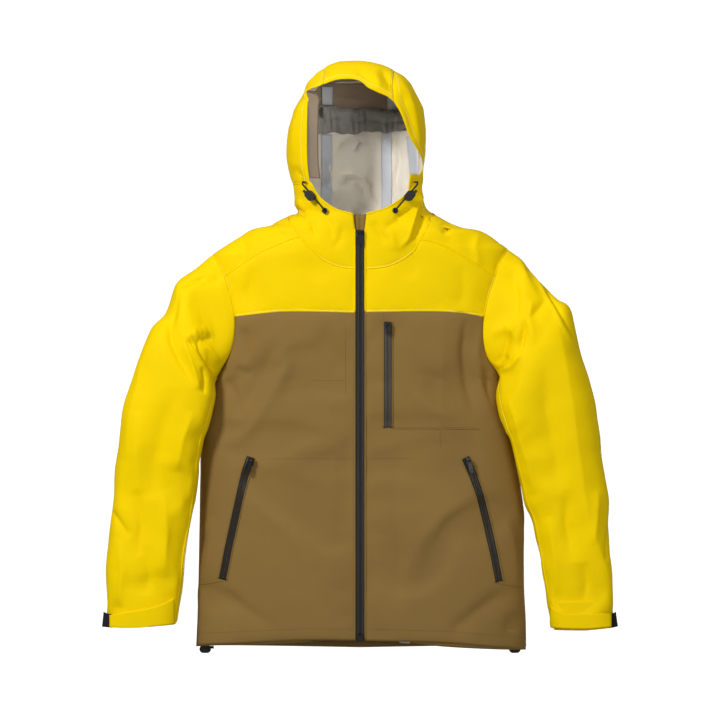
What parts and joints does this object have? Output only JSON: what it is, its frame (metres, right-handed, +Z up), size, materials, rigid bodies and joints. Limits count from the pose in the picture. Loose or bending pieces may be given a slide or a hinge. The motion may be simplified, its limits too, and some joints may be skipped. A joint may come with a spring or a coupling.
{
  "type": "hardshell jacket",
  "caption": "Hooded two-tone hardshell jacket with a full front zip, chest and hand pockets, strap cuffs and cord locks at hood and hem.",
  "frame": {"origin": "top of the hang loop's arch inside the back neck, where a peg carries the jacket", "axes": "+Z up along the jacket's height, -Y out of the front, +X to the wearer's left"},
  "size_m": [0.9262, 0.2164, 1.071],
  "materials": {
    "shell_yellow": "laminated plain weave",
    "shell_brown": "laminated plain weave",
    "lining": "matte knit backing with taped seams",
    "brim_facing": "matte weave",
    "tunnel_fabric": "gathered matte weave",
    "zip_tape": "smooth laminated tape",
    "slider_metal": "satin black",
    "lock_plastic": "moulded",
    "elastic_cord": "braided",
    "loop_tape": "woven loops",
    "webbing": "ribbed weave"
  },
  "bodies": {
    "shell": {"front_panel_left": "shell_brown", "front_panel_right": "shell_brown", "front_yoke_left": "shell_yellow", "front_yoke_right": "shell_yellow", "shoulder_left": "shell_yellow", "shoulder_right": "shell_yellow", "back_panel": "shell_brown", "back_yoke": "shell_yellow", "collar_left": "shell_yellow", "collar_right": "shell_yellow", "hood_nape": "shell_yellow", "front_zip_left": "zip_tape", "front_zip_right": "zip_tape", "front_zip_box": "lock_plastic", "storm_flap": "shell_brown", "chest_zip": "zip_tape", "hand_zip_left": "zip_tape", "hand_zip_right": "zip_tape", "chest_bag": "lining", "hand_bag_left": "lining", "hand_bag_right": "lining", "hood_cord_left": "elastic_cord", "hood_cord_right": "elastic_cord", "hood_eyelets": "lock_plastic", "hem_band": "shell_brown", "hem_lock_left": "lock_plastic", "hem_lock_right": "lock_plastic", "hang_loop": "webbing"},
    "hood": {"hood_side_left": "shell_yellow", "hood_side_right": "shell_yellow", "hood_centre": "shell_yellow", "hood_brim": "brim_facing", "hood_tunnel": "tunnel_fabric"},
    "sleeve_left": {"sleeve_cap_left": "shell_yellow", "sleeve_top_left": "shell_yellow", "sleeve_under_left": "shell_yellow", "cuff_left": "shell_yellow", "cuff_patch_left": "loop_tape"},
    "cuff_tab_left": {"cuff_tab_left": "shell_yellow"},
    "sleeve_right": {"sleeve_cap_right": "shell_yellow", "sleeve_top_right": "shell_yellow", "sleeve_under_right": "shell_yellow", "cuff_right": "shell_yellow", "cuff_patch_right": "loop_tape"},
    "cuff_tab_right": {"cuff_tab_right": "shell_yellow"},
    "front_slider": {"front_slider": "slider_metal"},
    "front_pull": {"front_pull": "slider_metal"},
    "chest_slider": {"chest_slider": "slider_metal"},
    "chest_pull": {"chest_pull": "slider_metal"},
    "hand_slider_left": {"hand_slider_left": "slider_metal"},
    "hand_pull_left": {"hand_pull_left": "slider_metal"},
    "hand_slider_right": {"hand_slider_right": "slider_metal"},
    "hand_pull_right": {"hand_pull_right": "slider_metal"},
    "hood_lock_left": {"hood_lock_left": "lock_plastic"},
    "hood_button_left": {"hood_button_left": "lock_plastic"},
    "hem_button_left": {"hem_button_left": "lock_plastic"},
    "hood_lock_right": {"hood_lock_right": "lock_plastic"},
    "hood_button_right": {"hood_button_right": "lock_plastic"},
    "hem_button_right": {"hem_button_right": "lock_plastic"}
  },
  "joints": [
    {"name": "hood_tip", "type": "hinge", "parent": "shell", "child": "hood", "pos_m": [0, -0.036, 0.045], "axis": [-1, 0, 0], "range_deg": [0, 35], "deforming": ["hood_nape"]},
    {"name": "sleeve_left_lift", "type": "hinge", "parent": "shell", "child": "sleeve_left", "pos_m": [0.262, -0.056, -0.178], "axis": [0, -1, 0], "range_deg": [0, 30], "deforming": ["sleeve_cap_left"]},
    {"name": "cuff_tab_left_open", "type": "hinge", "parent": "sleeve_left", "child": "cuff_tab_left", "pos_m": [0.3414, -0.12417, -0.71548], "axis": [0.1482, -0.0148, -0.9888], "range_deg": [0, 100]},
    {"name": "sleeve_right_lift", "type": "hinge", "parent": "shell", "child": "sleeve_right", "pos_m": [-0.262, -0.056, -0.178], "axis": [0, 1, 0], "range_deg": [0, 30], "deforming": ["sleeve_cap_right"]},
    {"name": "cuff_tab_right_open", "type": "hinge", "parent": "sleeve_right", "child": "cuff_tab_right", "pos_m": [-0.3414, -0.12417, -0.71548], "axis": [0.1482, 0.0148, 0.9888], "range_deg": [0, 100]},
    {"name": "front_slider_run", "type": "slide", "parent": "shell", "child": "front_slider", "axis": [0, 0, -1], "range_m": [0, 0.7]},
    {"name": "front_pull_swing", "type": "hinge", "parent": "front_slider", "child": "front_pull", "pos_m": [0, -0.1446, -0.0302], "axis": [-1, 0, 0], "range_deg": [0, 150]},
    {"name": "chest_slider_run", "type": "slide", "parent": "shell", "child": "chest_slider", "axis": [0, 0, -1], "range_m": [0, 0.165]},
    {"name": "chest_pull_swing", "type": "hinge", "parent": "chest_slider", "child": "chest_pull", "pos_m": [0.05, -0.1452, -0.1952], "axis": [-1, 0, 0], "range_deg": [0, 150]},
    {"name": "hand_slider_left_run", "type": "slide", "parent": "shell", "child": "hand_slider_left", "axis": [0.2442, 0.0589, -0.9679], "range_m": [0, 0.205]},
    {"name": "hand_pull_left_swing", "type": "hinge", "parent": "hand_slider_left", "child": "hand_pull_left", "pos_m": [0.19542, -0.13449, -0.43897], "axis": [-0.9368, -0.2436, -0.2511], "range_deg": [0, 150]},
    {"name": "hand_slider_right_run", "type": "slide", "parent": "shell", "child": "hand_slider_right", "axis": [-0.2442, 0.0589, -0.9679], "range_m": [0, 0.205]},
    {"name": "hand_pull_right_swing", "type": "hinge", "parent": "hand_slider_right", "child": "hand_pull_right", "pos_m": [-0.19542, -0.13449, -0.43897], "axis": [-0.9368, 0.2436, 0.2511], "range_deg": [0, 150]},
    {"name": "hood_lock_left_run", "type": "slide", "parent": "shell", "child": "hood_lock_left", "axis": [-0.6269, -0.2547, -0.7363], "range_m": [-0.006, 0.014]},
    {"name": "hood_button_left_press", "type": "slide", "parent": "hood_lock_left", "child": "hood_button_left", "axis": [-0.6269, -0.2547, -0.7363], "range_m": [0, 0.0035], "stiffness_N_per_m": 300},
    {"name": "hem_button_left_press", "type": "slide", "parent": "shell", "child": "hem_button_left", "axis": [1, 0, 0], "range_m": [0, 0.0035], "stiffness_N_per_m": 300},
    {"name": "hood_lock_right_run", "type": "slide", "parent": "shell", "child": "hood_lock_right", "axis": [0.6269, -0.2547, -0.7363], "range_m": [-0.006, 0.014]},
    {"name": "hood_button_right_press", "type": "slide", "parent": "hood_lock_right", "child": "hood_button_right", "axis": [0.6269, -0.2547, -0.7363], "range_m": [0, 0.0035], "stiffness_N_per_m": 300},
    {"name": "hem_button_right_press", "type": "slide", "parent": "shell", "child": "hem_button_right", "axis": [-1, 0, 0], "range_m": [0, 0.0035], "stiffness_N_per_m": 300}
  ]
}
